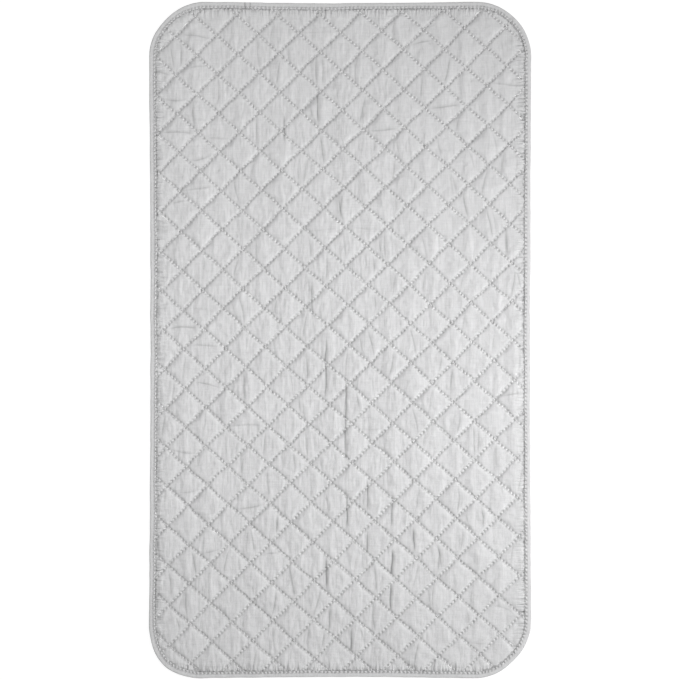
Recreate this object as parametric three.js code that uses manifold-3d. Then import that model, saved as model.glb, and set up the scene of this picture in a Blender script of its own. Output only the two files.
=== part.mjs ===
// A quilted ironing pad: a face cloth stitched to its wadding in a lattice of diamonds, a plain
// backing cloth under them, a folded tape that binds all three round the edge, and a thin magnet
// in each corner that holds the pad on a steel top.
// Millimetres, +Z up. The origin is the middle of the underside, and +Y runs along the pad.

import * as THREE from "three";
import { mergeVertices } from "three/addons/utils/BufferGeometryUtils.js";
import Module from "manifold-3d";

const wasm = await Module();
wasm.setup();

// Finished outline
const padWidth = 480;
const padLength = 850;
const cornerRadius = 70;

// Plies
const faceThickness = 0.4;
const backingThickness = 0.4;
const squeezedWadding = 1; // wadding pressed flat inside the binding
const loft = 2; // rise of a full diamond's middle above its stitch rows
const plyGap = 0.1; // clearance between plies that lie on each other

// Binding tape, its raw edges turned under, folded round the edge of the plies
const tapeThickness = 0.7;
const tapeWidth = 8;
const edgeClearance = 0.3; // between the fold and the cut edge of the plies
const rideUp = 3; // width of the slope where the backing climbs onto the tape

// Quilting rows, measured from the X axis
const rowSpacing = 35.7;
const risingAngle = 45;
const fallingAngle = 42;
const risingShift = 11.5; // distance from the origin to the nearest rising row
const fallingShift = 2.4; // distance from the origin to the nearest falling row
const quiltThreadWidth = 1.2;
const quiltThreadHeight = 0.6;

// Binding seam
const seamMargin = 2; // from the tape's inner edge to the stitch row
const seamThreadWidth = 0.8;

// Corner magnets
const magnetDiameter = 18;
const magnetThickness = 1;
const magnetChamfer = 0.2;
const magnetInset = 40; // from both edges to a magnet's middle
const pocketClearance = 0.3;

// Fineness of the round forms
const cornerSteps = 8;
const magnetSides = 20;

// Heights, from the table upwards
const tableTop = 0;
const borderLift = tapeThickness + plyGap;
const waddingBottom = tableTop + backingThickness + plyGap;
const waddingSeamTop = waddingBottom + borderLift + squeezedWadding;
const faceBottom = waddingSeamTop + plyGap;
const faceSeamTop = faceBottom + faceThickness;
const tapeTop = faceSeamTop + borderLift;
const foldRound = tapeTop / 3; // rounding of the fold at the finished edge

// Distances inwards from the finished edge
const plyInset = tapeThickness + edgeClearance;
const quiltInset = tapeWidth + edgeClearance;
const flatInset = quiltInset + rideUp;
const seamInset = tapeWidth - seamMargin;

// Outline

// The stations of the rounded outline: the centre of each corner and the outward directions
// round it, anticlockwise from the front right corner.
function outlineStations() {
  const corners = [
    [1, -1],
    [1, 1],
    [-1, 1],
    [-1, -1],
  ];
  return corners.flatMap(([sideX, sideY], quarter) => {
    const centre = new THREE.Vector2(
      sideX * (padWidth / 2 - cornerRadius),
      sideY * (padLength / 2 - cornerRadius),
    );
    return Array.from({ length: cornerSteps + 1 }, (_, step) => {
      const angle = (Math.PI / 2) * (quarter - 1 + step / cornerSteps);
      return { centre, outward: new THREE.Vector2(Math.cos(angle), Math.sin(angle)) };
    });
  });
}

const stations = outlineStations();

// The outline at a distance inwards from the finished edge.
function outlineAt(inset) {
  return stations.map(({ centre, outward }) =>
    centre.clone().addScaledVector(outward, cornerRadius - inset),
  );
}

// Quilting lattice

const radians = THREE.MathUtils.degToRad;
const risingNormal = new THREE.Vector2(Math.sin(radians(risingAngle)), -Math.cos(radians(risingAngle)));
const fallingNormal = new THREE.Vector2(Math.sin(radians(fallingAngle)), Math.cos(radians(fallingAngle)));
const risingRow = (n) => risingShift + n * rowSpacing;
const fallingRow = (n) => fallingShift + n * rowSpacing;

// The point at given distances from the origin across the rising and the falling rows.
function meet(acrossRising, acrossFalling) {
  const spread = risingNormal.cross(fallingNormal);
  return new THREE.Vector2(
    (acrossRising * fallingNormal.y - acrossFalling * risingNormal.y) / spread,
    (acrossFalling * risingNormal.x - acrossRising * fallingNormal.x) / spread,
  );
}

// The numbers of all rows of one direction that pass through an outline.
function rowsThrough(outline, normal, shift) {
  const across = outline.map((p) => (normal.dot(p) - shift) / rowSpacing);
  const first = Math.ceil(Math.min(...across));
  const last = Math.floor(Math.max(...across));
  return Array.from({ length: last - first + 1 }, (_, k) => first + k);
}

function isInside(p, outline) {
  return outline.every((start, k) => {
    const edge = outline[(k + 1) % outline.length].clone().sub(start);
    return edge.cross(p.clone().sub(start)) > 0;
  });
}

// The whole diamonds inside an outline, sharing their corner points, and the loop of points
// round them. Diamonds that the binding trims are pressed flat and are part of the border.
function quiltDiamonds(outline) {
  const points = [];
  const numbers = new Map();
  const numberOf = (i, j) => {
    const key = `${i} ${j}`;
    if (!numbers.has(key)) numbers.set(key, points.push(meet(risingRow(i), fallingRow(j))) - 1);
    return numbers.get(key);
  };
  const diamonds = [];
  for (const i of rowsThrough(outline, risingNormal, risingShift)) {
    for (const j of rowsThrough(outline, fallingNormal, fallingShift)) {
      const corners = [
        [i, j],
        [i + 1, j],
        [i + 1, j + 1],
        [i, j + 1],
      ];
      if (!corners.every(([a, b]) => isInside(meet(risingRow(a), fallingRow(b)), outline))) continue;
      const middle = meet(risingRow(i + 0.5), fallingRow(j + 0.5));
      diamonds.push({ loop: corners.map(([a, b]) => numberOf(a, b)), middle });
    }
  }
  return { points, diamonds, rim: outerEdge(diamonds) };
}

// The closed loop of point numbers round the outside of the diamonds, anticlockwise.
function outerEdge(diamonds) {
  const edges = diamonds.flatMap(({ loop }) => loop.map((from, k) => [from, loop[(k + 1) % loop.length]]));
  const known = new Set(edges.map(([from, to]) => `${from} ${to}`));
  const next = new Map(edges.filter(([from, to]) => !known.has(`${to} ${from}`)));
  const rim = [next.keys().next().value];
  while (rim.length < next.size) rim.push(next.get(rim.at(-1)));
  return rim;
}

const lattice = quiltDiamonds(outlineAt(quiltInset));

// Skins

// A skin under construction: points, and triangles that turn anticlockwise seen from outside.
class Skin {
  points = [];
  triangles = [];

  // Adds one point and returns its number.
  point(p, z) {
    return this.points.push(p.x, p.y, z) / 3 - 1;
  }

  // Adds the outline at a distance inwards and a height, as a loop of point numbers.
  loop(inset, z) {
    return outlineAt(inset).map((p) => this.point(p, z));
  }

  quad(a, b, c, d) {
    this.triangles.push([a, b, c], [a, c, d]);
  }

  // Joins two matching loops. The band faces out where the second loop is above the first, and
  // up where it is inside the first.
  band(first, second) {
    first.forEach((a, k) => {
      const after = (k + 1) % first.length;
      this.quad(a, first[after], second[after], second[k]);
    });
  }

  // Adds bands through a row of [inset, height] places and returns their loops.
  sweep(places) {
    const loops = places.map(([inset, z]) => this.loop(inset, z));
    loops.slice(1).forEach((loop, k) => this.band(loops[k], loop));
    return loops;
  }

  // Fills a loop with triangles that meet in one point.
  fan(loop, middle) {
    loop.forEach((a, k) => this.triangles.push([middle, a, loop[(k + 1) % loop.length]]));
  }

  // Fills the flat border between a loop of the outline and the rim of the diamonds. The rim has
  // points in line, so the filling is planned on a copy that is bowed a little.
  border(edge, rim) {
    const bowed = (n) => {
      const p = new THREE.Vector2().fromArray(this.points, 3 * n);
      return p.multiplyScalar(1 - 1e-8 * p.lengthSq());
    };
    const hole = rim.toReversed();
    const numbers = [...edge, ...hole];
    const faces = THREE.ShapeUtils.triangulateShape(edge.map(bowed), [hole.map(bowed)]);
    faces.forEach((face) => this.triangles.push(face.map((k) => numbers[k])));
  }

  // Adds a quilted side: the diamonds, and the border out to a loop at the same height.
  quilt(edge, z, facesDown = false) {
    const before = this.triangles.length;
    const corners = lattice.points.map((p) => this.point(p, z));
    for (const { loop, middle } of lattice.diamonds) {
      const crown = this.point(middle, z + loft);
      this.fan(
        loop.map((n) => corners[n]),
        crown,
      );
    }
    this.border(
      edge,
      lattice.rim.map((n) => corners[n]),
    );
    if (facesDown) this.triangles.slice(before).forEach((triangle) => triangle.reverse());
  }

  geometry() {
    const geometry = new THREE.BufferGeometry();
    geometry.setAttribute("position", new THREE.Float32BufferAttribute(this.points, 3));
    geometry.setIndex(this.triangles.flat());
    geometry.computeVertexNormals();
    return geometry;
  }
}

// A ring with one section all the way round the pad, given as [inset, height] places.
function ringOf(section) {
  const skin = new Skin();
  const loops = skin.sweep(section);
  skin.band(loops.at(-1), loops[0]);
  return skin.geometry();
}

// Solids for cutting

function solidOf(geometry) {
  const bare = geometry.clone();
  bare.deleteAttribute("normal");
  bare.deleteAttribute("uv");
  const merged = mergeVertices(bare);
  return new wasm.Manifold(
    new wasm.Mesh({
      numProp: 3,
      vertProperties: new Float32Array(merged.attributes.position.array),
      triVerts: new Uint32Array(merged.index.array),
    }),
  );
}

function geometryOf(solid) {
  const { vertProperties, triVerts } = solid.getMesh();
  const geometry = new THREE.BufferGeometry();
  geometry.setAttribute("position", new THREE.BufferAttribute(vertProperties, 3));
  geometry.setIndex(new THREE.BufferAttribute(triVerts, 1));
  geometry.computeVertexNormals();
  return geometry;
}

// Corner magnets, lying on the backing under the wadding

const magnetX = padWidth / 2 - magnetInset;
const magnetY = padLength / 2 - magnetInset;
const magnetPlaces = {
  magnet_front_left: new THREE.Vector2(-magnetX, -magnetY),
  magnet_front_right: new THREE.Vector2(magnetX, -magnetY),
  magnet_back_left: new THREE.Vector2(-magnetX, magnetY),
  magnet_back_right: new THREE.Vector2(magnetX, magnetY),
};

function magnetDisc(place) {
  const disc = new THREE.Shape().absarc(0, 0, magnetDiameter / 2, 0, 2 * Math.PI);
  const geometry = new THREE.ExtrudeGeometry(disc, {
    depth: magnetThickness - 2 * magnetChamfer,
    curveSegments: magnetSides / 2,
    bevelThickness: magnetChamfer,
    bevelSize: magnetChamfer,
    bevelOffset: -magnetChamfer,
    bevelSegments: 1,
  });
  return geometry.translate(place.x, place.y, waddingBottom + magnetChamfer);
}

// The hollow in the wadding that a magnet lies in, open downwards.
function magnetPocket(place) {
  const radius = magnetDiameter / 2 + pocketClearance;
  const depth = magnetThickness + pocketClearance;
  const hollow = new THREE.CylinderGeometry(radius, radius, 2 * depth, magnetSides);
  return hollow.rotateX(Math.PI / 2).translate(place.x, place.y, waddingBottom);
}

// Plies

const padMiddle = new THREE.Vector2();

function faceCloth() {
  const skin = new Skin();
  const [lower, upper] = skin.sweep([
    [plyInset, faceBottom],
    [plyInset, faceSeamTop],
  ]);
  skin.quilt(lower, faceBottom, true);
  skin.quilt(upper, faceSeamTop);
  return skin.geometry();
}

// One side of the backing: flat in the middle, then climbing onto the tape's lower flap.
function climb(z) {
  return [
    [flatInset, z],
    [quiltInset, z + borderLift],
    [plyInset, z + borderLift],
  ];
}

function waddingPly() {
  const skin = new Skin();
  const loops = skin.sweep([...climb(waddingBottom), [plyInset, waddingSeamTop]]);
  skin.fan(loops[0].toReversed(), skin.point(padMiddle, waddingBottom));
  skin.quilt(loops.at(-1), waddingSeamTop);
  const pockets = Object.values(magnetPlaces).map((place) => solidOf(magnetPocket(place)));
  return geometryOf(pockets.reduce((solid, pocket) => solid.subtract(pocket), solidOf(skin.geometry())));
}

function backingCloth() {
  const backingTop = tableTop + backingThickness;
  const skin = new Skin();
  const loops = skin.sweep([...climb(tableTop), ...climb(backingTop).reverse()]);
  skin.fan(loops[0].toReversed(), skin.point(padMiddle, tableTop));
  skin.fan(loops.at(-1), skin.point(padMiddle, backingTop));
  return skin.geometry();
}

// Edge binding, with a shallow bed above and below where the seam is pulled in

const seamBed = tapeThickness / 2;
const seamBedHalf = seamThreadWidth / 2 + plyGap;

// The outside of the tape from its inner edge to the fold, below or above.
function flap(z, inwards) {
  const bed = z + inwards * seamBed;
  return [
    [tapeWidth, z],
    [seamInset + seamBedHalf, z],
    [seamInset + seamBedHalf, bed],
    [seamInset - seamBedHalf, bed],
    [seamInset - seamBedHalf, z],
    [foldRound, z],
    [0.3 * foldRound, z + inwards * 0.3 * foldRound],
    [0, z + inwards * foldRound],
  ];
}

function edgeBinding() {
  return ringOf([
    ...flap(tableTop, 1),
    ...flap(tapeTop, -1).reverse(),
    [tapeWidth, tapeTop - tapeThickness],
    [tapeThickness, tapeTop - tapeThickness],
    [tapeThickness, tableTop + tapeThickness],
    [tapeWidth, tableTop + tapeThickness],
  ]);
}

function seamThread(z) {
  const inner = seamInset + seamThreadWidth / 2;
  const outer = seamInset - seamThreadWidth / 2;
  const height = seamBed - plyGap;
  return ringOf([
    [inner, z],
    [outer, z],
    [outer, z + height],
    [inner, z + height],
  ]);
}

// Quilting thread, lying in the channels between the diamonds

const threadHalf = quiltThreadWidth / 2;
const channelRise = (2 * loft * threadHalf) / rowSpacing;
const threadBottom = faceSeamTop + channelRise + plyGap;
const threadTop = threadBottom + quiltThreadHeight;

// The two places where a row meets an outline, in the order in which the row runs.
function rowEnds(normal, distance, outline) {
  const along = new THREE.Vector2(-normal.y, normal.x);
  const ends = outline.flatMap((p, k) => {
    const q = outline[(k + 1) % outline.length];
    const a = normal.dot(p) - distance;
    const b = normal.dot(q) - distance;
    return a * b < 0 ? [p.clone().lerp(q, a / (a - b))] : [];
  });
  return ends.sort((p, q) => along.dot(p) - along.dot(q));
}

// A stop on a row of thread has a peak, and base points to its left and right: those in front
// belong to the length of thread that leaves it, those behind to the one that arrives.
function joinStops(skin, from, to) {
  const [leftFrom, rightFrom] = from.front;
  const [leftTo, rightTo] = to.back;
  skin.quad(rightFrom, rightTo, to.peak, from.peak);
  skin.quad(leftTo, leftFrom, from.peak, to.peak);
  skin.quad(leftFrom, leftTo, rightTo, rightFrom);
}

function endStop(skin, p, left) {
  const peak = skin.point(p, threadTop);
  const sides = [1, -1].map((side) =>
    skin.point(p.clone().addScaledVector(left, side * threadHalf), threadBottom),
  );
  return { peak, front: sides, back: sides };
}

function addRow(skin, [start, end], left, crossings) {
  const first = endStop(skin, start, left);
  const last = endStop(skin, end, left);
  const stops = [first, ...crossings, last];
  stops.slice(1).forEach((stop, k) => joinStops(skin, stops[k], stop));
  skin.triangles.push([first.front[1], first.peak, first.front[0]]);
  skin.triangles.push([last.back[0], last.peak, last.back[1]]);
}

// Where two rows cross: one peak, and base points to the east, north, west and south of it.
function knotAt(skin, i, j) {
  const base = (side, end) => {
    const corner = meet(risingRow(i) + side * threadHalf, fallingRow(j) + end * threadHalf);
    return skin.point(corner, threadBottom);
  };
  const [east, north, west, south] = [base(1, 1), base(-1, 1), base(-1, -1), base(1, -1)];
  skin.quad(east, south, west, north);
  const peak = skin.point(meet(risingRow(i), fallingRow(j)), threadTop);
  return {
    i,
    j,
    onRising: { peak, front: [north, east], back: [west, south] },
    onFalling: { peak, front: [east, south], back: [north, west] },
  };
}

// All rows that cross another one, joined where they cross.
function quiltingThread() {
  const skin = new Skin();
  const outline = outlineAt(quiltInset + quiltThreadWidth);
  const clearOfEnds = outlineAt(quiltInset + 2 * quiltThreadWidth);
  const risingRows = rowsThrough(outline, risingNormal, risingShift);
  const fallingRows = rowsThrough(outline, fallingNormal, fallingShift);
  const knots = risingRows.flatMap((i) =>
    fallingRows
      .filter((j) => isInside(meet(risingRow(i), fallingRow(j)), clearOfEnds))
      .map((j) => knotAt(skin, i, j)),
  );
  for (const i of risingRows) {
    const stops = knots.filter((knot) => knot.i === i).map(({ onRising }) => onRising);
    const ends = rowEnds(risingNormal, risingRow(i), outline);
    if (stops.length) addRow(skin, ends, risingNormal.clone().negate(), stops);
  }
  for (const j of fallingRows) {
    const stops = knots.filter((knot) => knot.j === j).map(({ onFalling }) => onFalling);
    const ends = rowEnds(fallingNormal.clone().negate(), -fallingRow(j), outline);
    if (stops.length) addRow(skin, ends, fallingNormal, stops);
  }
  return skin.geometry();
}

// The pad

const cottonGrey = new THREE.MeshStandardMaterial({ color: 0xcfcfd0, roughness: 0.85, metalness: 0 });
const tapeGrey = new THREE.MeshStandardMaterial({ color: 0xbdbdbf, roughness: 0.85, metalness: 0 });
const threadGrey = new THREE.MeshStandardMaterial({ color: 0xd8d8d9, roughness: 0.6, metalness: 0 });
const waddingWhite = new THREE.MeshStandardMaterial({ color: 0xf0efec, roughness: 1, metalness: 0 });
const backingGrey = new THREE.MeshStandardMaterial({ color: 0xc4c4c6, roughness: 0.9, metalness: 0 });
const magnetNickel = new THREE.MeshStandardMaterial({ color: 0xb8b6b0, roughness: 0.3, metalness: 1 });

const pad = new THREE.Group();
pad.name = "ironing_pad";

function addPiece(name, geometry, material) {
  const piece = new THREE.Mesh(geometry, material);
  piece.name = name;
  pad.add(piece);
}

addPiece("backing_cloth", backingCloth(), backingGrey);
addPiece("wadding", waddingPly(), waddingWhite);
addPiece("face_cloth", faceCloth(), cottonGrey);
addPiece("edge_binding", edgeBinding(), tapeGrey);
addPiece("quilting_thread", quiltingThread(), threadGrey);
addPiece("binding_thread_upper", seamThread(tapeTop - seamBed + plyGap), threadGrey);
addPiece("binding_thread_lower", seamThread(tableTop), threadGrey);
for (const [name, place] of Object.entries(magnetPlaces)) addPiece(name, magnetDisc(place), magnetNickel);

export default pad;
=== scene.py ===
# %% [markdown]
# # A quilted ironing pad
# The real pad is a cotton face cloth stitched to soft wadding in a lattice of diamonds, with a plain
# backing cloth under it and a folded tape sewn round its edge. It could be faked as one plane with a
# bump map, but its edge and its channels would then look flat from the side. So this lesson dresses
# the CAD frame with every soft piece as a mesh of its own, in metres and in the frame's own place.

import math

import bpy
import numpy as np
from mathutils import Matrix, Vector


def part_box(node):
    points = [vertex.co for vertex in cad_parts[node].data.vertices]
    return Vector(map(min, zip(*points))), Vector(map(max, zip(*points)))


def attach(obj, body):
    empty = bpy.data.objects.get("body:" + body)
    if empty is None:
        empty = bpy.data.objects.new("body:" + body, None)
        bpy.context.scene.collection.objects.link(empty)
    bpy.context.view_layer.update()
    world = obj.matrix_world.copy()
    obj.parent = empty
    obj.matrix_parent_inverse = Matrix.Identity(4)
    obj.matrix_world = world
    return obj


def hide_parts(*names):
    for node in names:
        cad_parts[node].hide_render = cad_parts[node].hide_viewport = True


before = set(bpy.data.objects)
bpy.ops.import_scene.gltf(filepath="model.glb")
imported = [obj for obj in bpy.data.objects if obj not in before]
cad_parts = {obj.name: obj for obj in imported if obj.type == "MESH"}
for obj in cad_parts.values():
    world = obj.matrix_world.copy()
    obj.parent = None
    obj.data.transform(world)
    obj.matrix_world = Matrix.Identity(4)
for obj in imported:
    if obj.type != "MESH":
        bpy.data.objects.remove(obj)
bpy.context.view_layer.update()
bpy.ops.object.select_all(action="DESELECT")

# %% [markdown]
# ## The paper pattern
# A seamstress marks the pad out flat before sewing: a rounded rectangle, with stitch rows in two
# slanting directions. These could be drawn as curves, but plain functions are handier, because cloth,
# tape and stitches can all ask them for a place and so keep to one pattern. The outer size is read
# from the frame. A place on the lattice is counted in rows: s across the rising rows and t across the
# falling ones.

# %% Outline
MM = 0.001
far_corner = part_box("edge_binding")[1]
HALF_WIDTH, HALF_LENGTH = far_corner[0], far_corner[1]
CORNER = 70 * MM
TAPE_WIDTH = 8 * MM


def depth_inside(x, y):
    """Distance from the finished edge, inwards."""
    past_x = np.abs(x) - (HALF_WIDTH - CORNER)
    past_y = np.abs(y) - (HALF_LENGTH - CORNER)
    outside = np.hypot(np.maximum(past_x, 0), np.maximum(past_y, 0))
    return CORNER - outside - np.minimum(np.maximum(past_x, past_y), 0)


print("the pad is", round(2000 * HALF_WIDTH), "by", round(2000 * HALF_LENGTH), "mm")

# %% Stitch rows
ROW_SPACING = 35.7 * MM
REACH = 13  # rows counted to each side of the middle
RISING, FALLING = math.radians(45), math.radians(42)
RISING_SHIFT, FALLING_SHIFT = 11.5 * MM, 2.4 * MM
across_rising = (math.sin(RISING), -math.cos(RISING))
across_falling = (math.sin(FALLING), math.cos(FALLING))
SPREAD = across_rising[0] * across_falling[1] - across_rising[1] * across_falling[0]


def place_of(s, t):
    """The point at s rows across the rising rows and t rows across the falling ones."""
    a = RISING_SHIFT + s * ROW_SPACING
    b = FALLING_SHIFT + t * ROW_SPACING
    x = (a * across_falling[1] - b * across_rising[1]) / SPREAD
    y = (b * across_rising[0] - a * across_falling[0]) / SPREAD
    return x, y


print("the side of a diamond is", round(1000 * ROW_SPACING / SPREAD, 1), "mm long")

# %% [markdown]
# ## How sewing draws the pattern in
# No sewn pad is as true as its pattern. The thread pulls each side in a little between its corners,
# and the rows waver by about a millimetre. Each piece could be bent with a lattice modifier, but tape
# and stitches might then drift apart. One function that moves any point of the pattern to where
# sewing leaves it serves every piece, so they stay together.

# %% Wavering rows
rng = np.random.default_rng(11)
PHASE = 6.28  # about a full turn
# slow, quicker and quick waves: their pace in radians to the metre, their height and their number
WAVER = [(22, 0.20 * MM)] * 10 + [(110, 0.14 * MM)] * 14 + [(260, 0.07 * MM)] * 14
WAVES = [
    (rng.normal(0, pace), rng.normal(0, pace), rng.uniform(0, PHASE), rng.uniform(0, PHASE), height)
    for pace, height in WAVER
]


def waver(x, y):
    """How far sewing puts a row off its line, across and up."""
    across = sum(height * np.sin(a * x + b * y + p) for a, b, p, q, height in WAVES)
    up = sum(height * np.sin(b * x - a * y + q) for a, b, p, q, height in WAVES)
    return across, up


print("rows waver in", len(WAVES), "waves")

# %% Drawing in
LEFT_BOW, RIGHT_BOW, END_BOW = 2.4 * MM, 1.4 * MM, 2.8 * MM
CORNER_PULL = {(-1, 1): 2.4 * MM, (1, 1): 0.8 * MM, (-1, -1): -3.6 * MM, (1, -1): 2.8 * MM}
PULL_REACH = 32 * MM
SLANT = 0.7  # share of a slanting pull that goes across, and up
STEADIED = 30 * MM  # the tape steadies the rows within this distance
STEADY_SHARE = 0.3  # what is left of the wavering at the edge


def sewn(x, y):
    """Where a point of the flat pattern lies after sewing."""
    out_x, out_y = np.clip(x / HALF_WIDTH, -1, 1), np.clip(y / HALF_LENGTH, -1, 1)
    bow = np.where(x < 0, LEFT_BOW, RIGHT_BOW)
    move_x = -bow * out_x * np.abs(out_x) ** 3 * (1 - out_y**2)
    move_y = -END_BOW * out_y * np.abs(out_y) ** 3 * (1 - out_x**2) ** 1.5
    for (side_x, side_y), pull in CORNER_PULL.items():
        away_x = side_x * x - HALF_WIDTH + 0.3 * CORNER
        away_y = side_y * y - HALF_LENGTH + 0.3 * CORNER
        share = SLANT * pull * np.exp(-(away_x**2 + away_y**2) / PULL_REACH**2)
        move_x, move_y = move_x - side_x * share, move_y - side_y * share
    free = STEADY_SHARE + (1 - STEADY_SHARE) * np.clip(depth_inside(x, y) / STEADIED, 0, 1)
    waver_x, waver_y = waver(x, y)
    return x + move_x + free * waver_x, y + move_y + free * waver_y


corner_shift = sewn(np.array([0.19]), np.array([0.375]))
print("a corner centre moves to", [round(1000 * float(c[0]), 2) for c in corner_shift], "mm")

# %% [markdown]
# ## Cotton cloth
# All cloth here is plain-woven grey cotton. From a step away the eye catches its slubs, the thicker
# places in single yarns, as faint streaks along and across the pad. A picture of a weave is the usual
# way to show cloth, but nodes of noise and sines need no picture and never repeat. The weave itself
# is finer than a millimetre and only roughens the surface, so it goes into the bump. Long formulas
# are easier to read as calls than as a web of nodes, so a few helpers place and link the nodes.


# %% Nodes by name
def new_material(name):
    material = bpy.data.materials.new(name)
    material.use_nodes = True
    return material


def add_node(material, kind, settings=None, **inputs):
    """A node with its settings, and its inputs set or linked by name (or _number)."""
    node = material.node_tree.nodes.new(kind)
    for name, value in (settings or {}).items():
        setattr(node, name, value)
    for name, value in inputs.items():
        key = int(name[1:]) if name[1:].isdigit() else name.replace("_", " ")
        if isinstance(value, bpy.types.NodeSocket):
            material.node_tree.links.new(value, node.inputs[key])
        else:
            node.inputs[key].default_value = value
    return node


# %% Sums and products
def calc(material, operation, *values):
    inputs = {f"_{k}": value for k, value in enumerate(values)}
    return add_node(material, "ShaderNodeMath", {"operation": operation}, **inputs).outputs[0]


def total(material, *values):
    """The sum of all the values."""
    result = values[0]
    for value in values[1:]:
        result = calc(material, "ADD", result, value)
    return result


def times(material, *values):
    """The product of all the values."""
    result = values[0]
    for value in values[1:]:
        result = calc(material, "MULTIPLY", result, value)
    return result


def minus(material, value, less):
    return calc(material, "SUBTRACT", value, less)


def scaled(material, value, slope, start):
    """A straight line: the slope times the value, and a start."""
    return calc(material, "MULTIPLY_ADD", value, slope, start)


# %% Places on a piece
def own_place(material):
    """The place of a point, in the piece's own metres."""
    return add_node(material, "ShaderNodeTexCoord").outputs["Object"]


def parts(material, vector):
    """The first two numbers of a vector."""
    split = add_node(material, "ShaderNodeSeparateXYZ", Vector=vector)
    return split.outputs[0], split.outputs[1]


def counts_in(material, name):
    """The two numbers that a UV map holds."""
    return parts(material, add_node(material, "ShaderNodeUVMap", {"uv_map": name}).outputs[0])


# %% Ramps and bells
def ramp(material, value, low, high, start, end):
    """start below low, end above high, and smooth between them."""
    node = add_node(material, "ShaderNodeMapRange", {"interpolation_type": "SMOOTHSTEP"}, Value=value)
    for name, number in zip(("From Min", "From Max", "To Min", "To Max"), (low, high, start, end)):
        node.inputs[name].default_value = number
    return node.outputs[0]


def bell(material, value, width):
    """1 where the value is nought, falling off to both sides within about this width."""
    share = calc(material, "DIVIDE", value, width)
    return calc(material, "EXPONENT", times(material, share, share, -1.0))


# %% Noise and weave
def noise(material, vector, wide, long, seed, detail=2.0):
    """Noise with spots of this width and length, from 0 to 1."""
    mapping = add_node(material, "ShaderNodeMapping", Vector=vector)
    mapping.inputs["Scale"].default_value = (1 / wide, 1 / long, 1 / wide)
    mapping.inputs["Location"].default_value = (seed, 2.3 * seed, 0)
    return add_node(
        material, "ShaderNodeTexNoise", Vector=mapping.outputs[0], Scale=1.0, Detail=detail
    ).outputs["Fac"]


def streaks(material, vector, wide, long, seed, detail=2.0):
    """The same noise, from about -1 to 1."""
    centred = minus(material, noise(material, vector, wide, long, seed, detail), 0.5)
    return times(material, centred, 3.5)


TURN = 2 * math.pi


def weave(material, vector, pitch):
    """A plain weave: two sets of yarns at right angles."""
    turns = [times(material, part, TURN / pitch) for part in parts(material, vector)]
    return times(material, *[calc(material, "SINE", turn) for turn in turns])


# %% Finish, colour and bump
def shader_of(material):
    return material.node_tree.nodes["Principled BSDF"]


def set_finish(material, **numbers):
    """Numbers that are the same all over a surface go on the shader's own sockets."""
    for name, number in numbers.items():
        shader_of(material).inputs[name.replace("_", " ")].default_value = number


def paint(material, tone, grey=(1.0, 1.0, 1.0)):
    """A grey, times a tone that changes over the surface."""
    colour = add_node(material, "ShaderNodeCombineColor", {"mode": "RGB"})
    for channel, level in zip(("Red", "Green", "Blue"), grey):
        material.node_tree.links.new(times(material, tone, level), colour.inputs[channel])
    material.node_tree.links.new(colour.outputs[0], shader_of(material).inputs["Base Color"])


def emboss(material, relief, strength, distance):
    """A bump that raises the surface by a relief."""
    bump = add_node(material, "ShaderNodeBump", Height=relief, Strength=strength, Distance=distance)
    material.node_tree.links.new(bump.outputs["Normal"], shader_of(material).inputs["Normal"])


# %% Plain-woven cotton
SLUB_WIDTH, SLUB_LENGTH = 1.3 * MM, 17 * MM
CLOUD = 60 * MM  # size of the patches that are a little paler or darker


def cloth_material(name, grey, pitch, streak, extras=None):
    """Plain-woven cotton. extras gives a factor for the tone and a relief in millimetres."""
    material = new_material(name)
    set_finish(material, Roughness=0.82, Specular_IOR_Level=0.3)
    set_finish(material, Sheen_Weight=0.1, Sheen_Roughness=0.5)
    place = own_place(material)
    warp = streaks(material, place, SLUB_WIDTH, SLUB_LENGTH, 3.1)
    weft = streaks(material, place, SLUB_LENGTH, SLUB_WIDTH, 8.7)
    cloud = streaks(material, place, CLOUD, CLOUD, 5.3)
    yarns = weave(material, place, pitch)
    slubs = total(material, times(material, warp, streak), times(material, weft, 0.7 * streak))
    tone = total(material, 1.0, slubs, times(material, cloud, 0.02), times(material, yarns, 0.03))
    relief = total(material, times(material, warp, 0.05), times(material, weft, 0.04))
    relief = total(material, relief, times(material, yarns, 0.03))
    if extras:
        factor, height = extras(material, place)
        tone = times(material, tone, factor)
        relief = total(material, relief, height)
    paint(material, tone, grey)
    emboss(material, relief, 1.0, MM)
    print(name, "has", len(material.node_tree.nodes), "nodes")
    return material


# %% [markdown]
# ## Needle holes along the rows
# Where the needle goes through, the face cloth is pulled down into a small hole, and between two
# holes it stands up in a tiny bead. The shade in each hole and in the foot of the swelling beside
# the row is painted into the cloth's colour. The holes could be modelled, but there are thousands of
# them and they are smaller than the mesh's own faces. So the face cloth carries a UV map that counts
# stitch rows, and its material finds the rows and the holes along them by counting, however the
# cloth is drawn in.

# %% Holes and beads
STITCH = 4.9 * MM
PER_ROW_STEP = ROW_SPACING / math.sin(RISING + FALLING) / STITCH  # stitches from row to row
ROW_START = 0.618  # how far the first stitch shifts from each row to the next
HOLE, BEAD = 0.9 * MM, 1.3 * MM  # half widths
FLANK_OUT, FLANK = 1.8 * MM, 0.7 * MM  # place and half width of the shaded foot beside a row
# painted shade in the needle holes and in the foot beside a row, and how much the latter changes along the
# row
HOLE_SHADE, FLANK_SHADE, FLANK_SHADE_CHANGE = 0.5, 0.1, 0.11


def tightness(material, uneven):
    """Some stitches are pulled tighter than others, and the painted shade in their holes is deeper."""
    return ramp(material, uneven, 0.3, 0.7, 0.5, 1.1)


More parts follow.
